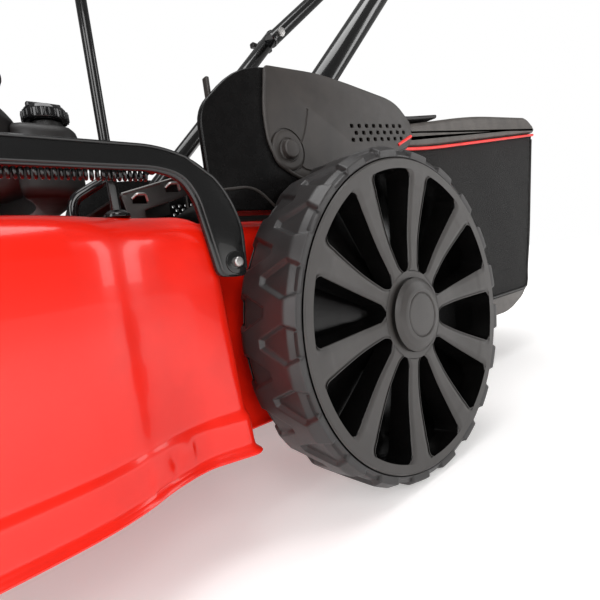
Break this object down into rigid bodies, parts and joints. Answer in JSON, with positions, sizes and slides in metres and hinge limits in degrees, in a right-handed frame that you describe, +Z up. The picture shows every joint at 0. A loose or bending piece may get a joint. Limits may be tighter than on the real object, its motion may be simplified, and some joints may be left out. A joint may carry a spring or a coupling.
{
  "type": "push lawn mower",
  "caption": "Petrol push lawn mower with a round pressed deck, slotted disc wheels, side height handle, rear grass bag and folding two-part handlebar.",
  "frame": {"origin": "on the ground, under the middle of the whole machine", "axes": "+Z up, -Y to the front of the mower, +X to the mower's left side, where the height handle is"},
  "size_m": [0.5432, 1.3996, 1.0435],
  "materials": {
    "red_paint": "gloss enamel",
    "black_paint": "gloss",
    "black_plastic": "fine grain",
    "gloss_plastic": "polished",
    "grey_plastic": "satin",
    "wheel_plastic": "satin",
    "tyre": "moulded",
    "boot_rubber": "matt",
    "foam": "foam sleeve",
    "bag_cloth": "woven",
    "grey_steel": "zinc plated",
    "aluminium": "die cast"
  },
  "bodies": {
    "chassis": {"deck": "red_paint", "front_trim": "black_plastic", "discharge_tunnel": "black_plastic", "tunnel_cover": "grey_steel", "crankcase": "aluminium", "engine_cylinder": "aluminium", "engine_shroud": "black_plastic", "starter_cover": "grey_plastic", "fuel_tank": "black_plastic", "muffler": "grey_steel", "muffler_guard": "black_paint", "air_filter_cover": "black_plastic", "carburettor": "aluminium", "spark_plug_boot": "boot_rubber", "oil_filler": "black_plastic", "breather_pipe": "gloss_plastic", "height_quadrant": "black_paint", "flap_rod": "grey_steel", "rear_bush_left": "black_plastic", "rear_housing_left": "black_plastic", "fold_bolt_left": "gloss_plastic", "rear_bush_right": "black_plastic", "rear_housing_right": "black_plastic", "fold_bolt_right": "gloss_plastic"},
    "fuel_cap": {"fuel_cap": "gloss_plastic"},
    "starter_grip": {"starter_grip": "black_plastic"},
    "rotor": {"crankshaft": "grey_steel", "blade": "grey_steel", "blade_bolt": "grey_steel"},
    "rear_axle": {"rear_axle": "grey_steel"},
    "front_axle": {"front_axle": "grey_steel"},
    "side_handle": {"side_handle": "black_paint", "height_spring": "black_paint"},
    "latch": {"latch_rod": "black_paint", "latch_knob": "gloss_plastic"},
    "rear_flap": {"rear_flap": "black_plastic"},
    "grass_bag": {"bag_fabric": "bag_cloth", "bag_lid": "grey_plastic", "bag_tray": "grey_plastic", "bag_frame": "black_paint", "bag_handle": "black_plastic"},
    "lower_handle": {"lower_handlebar_left": "black_paint", "lower_handlebar_right": "black_paint"},
    "upper_handle": {"upper_handlebar": "black_paint", "handle_grip": "foam"},
    "bail": {"bail_lever": "black_paint"},
    "rear_wheel_left": {"rear_tyre_left": "tyre", "rear_wheel_left": "wheel_plastic", "rear_hub_cap_left": "wheel_plastic"},
    "front_wheel_left": {"front_tyre_left": "tyre", "front_wheel_left": "wheel_plastic", "front_hub_cap_left": "wheel_plastic"},
    "clamp_left": {"clamp_knob_left": "black_plastic"},
    "rear_wheel_right": {"rear_tyre_right": "tyre", "rear_wheel_right": "wheel_plastic", "rear_hub_cap_right": "wheel_plastic"},
    "front_wheel_right": {"front_tyre_right": "tyre", "front_wheel_right": "wheel_plastic", "front_hub_cap_right": "wheel_plastic"},
    "clamp_right": {"clamp_knob_right": "black_plastic"}
  },
  "joints": [
    {"name": "rear_axle_pivot", "type": "hinge", "parent": "chassis", "child": "rear_axle", "pos_m": [0, 0.02, 0.118], "axis": [1, 0, 0], "range_deg": [-24, 6]},
    {"name": "front_axle_pivot", "type": "hinge", "parent": "chassis", "child": "front_axle", "pos_m": [0, -0.652, 0.112], "axis": [1, 0, 0], "range_deg": [-7.2, 28.8]},
    {"name": "side_handle_pivot", "type": "hinge", "parent": "chassis", "child": "side_handle", "pos_m": [0.224, -0.2, 0.203], "axis": [1, 0, 0], "range_deg": [-8, 2]},
    {"name": "latch_slide", "type": "slide", "parent": "chassis", "child": "latch", "axis": [0, 0, 1], "range_m": [0, 0.012], "stiffness_N_per_m": 250, "springref_m": -0.004},
    {"name": "blade_spin", "type": "hinge", "parent": "chassis", "child": "rotor", "pos_m": [0, -0.385, 0.15], "axis": [0, 0, 1], "continuous": true},
    {"name": "fuel_cap_turn", "type": "hinge", "parent": "chassis", "child": "fuel_cap", "pos_m": [0.042, -0.252, 0.352], "axis": [0, 0, 1], "range_deg": [0, 90]},
    {"name": "starter_pull", "type": "slide", "parent": "chassis", "child": "starter_grip", "axis": [0, 0.7732, 0.6342], "range_m": [0, 0.45], "stiffness_N_per_m": 12, "springref_m": -0.3},
    {"name": "flap_hinge", "type": "hinge", "parent": "chassis", "child": "rear_flap", "pos_m": [0, 0.026, 0.353], "axis": [1, 0, 0], "range_deg": [0, 60]},
    {"name": "bag_slide", "type": "slide", "parent": "chassis", "child": "grass_bag", "axis": [0, 1, 0], "range_m": [0, 0.3]},
    {"name": "lower_handle_tilt", "type": "hinge", "parent": "chassis", "child": "lower_handle", "pos_m": [0, -0.111, 0.292], "axis": [1, 0, 0], "range_deg": [0, 12]},
    {"name": "upper_handle_fold", "type": "hinge", "parent": "lower_handle", "child": "upper_handle", "pos_m": [0, 0.215, 0.63], "axis": [1, 0, 0], "range_deg": [0, 150]},
    {"name": "bail_pivot", "type": "hinge", "parent": "upper_handle", "child": "bail", "pos_m": [0, 0.58347, 0.93918], "axis": [1, 0, 0], "range_deg": [-35, 0], "stiffness_Nm_per_rad": 1.5, "springref_deg": 14.32},
    {"name": "rear_wheel_left_spin", "type": "hinge", "parent": "rear_axle", "child": "rear_wheel_left", "pos_m": [0.237, -0.05, 0.141], "axis": [1, 0, 0], "continuous": true},
    {"name": "front_wheel_left_spin", "type": "hinge", "parent": "front_axle", "child": "front_wheel_left", "pos_m": [0.245, -0.6, 0.1], "axis": [1, 0, 0], "continuous": true},
    {"name": "clamp_left_turn", "type": "hinge", "parent": "lower_handle", "child": "clamp_left", "pos_m": [0.2, 0.215, 0.63], "axis": [1, 0, 0], "range_deg": [-180, 180]},
    {"name": "rear_wheel_right_spin", "type": "hinge", "parent": "rear_axle", "child": "rear_wheel_right", "pos_m": [-0.237, -0.05, 0.141], "axis": [1, 0, 0], "continuous": true},
    {"name": "front_wheel_right_spin", "type": "hinge", "parent": "front_axle", "child": "front_wheel_right", "pos_m": [-0.245, -0.6, 0.1], "axis": [1, 0, 0], "continuous": true},
    {"name": "clamp_right_turn", "type": "hinge", "parent": "lower_handle", "child": "clamp_right", "pos_m": [-0.2, 0.215, 0.63], "axis": [1, 0, 0], "range_deg": [-180, 180]}
  ],
  "couplings": [
    {"joint": "front_axle_pivot", "follows": "rear_axle_pivot", "ratio": -1.2},
    {"joint": "side_handle_pivot", "follows": "rear_axle_pivot", "ratio": 0.33333}
  ]
}
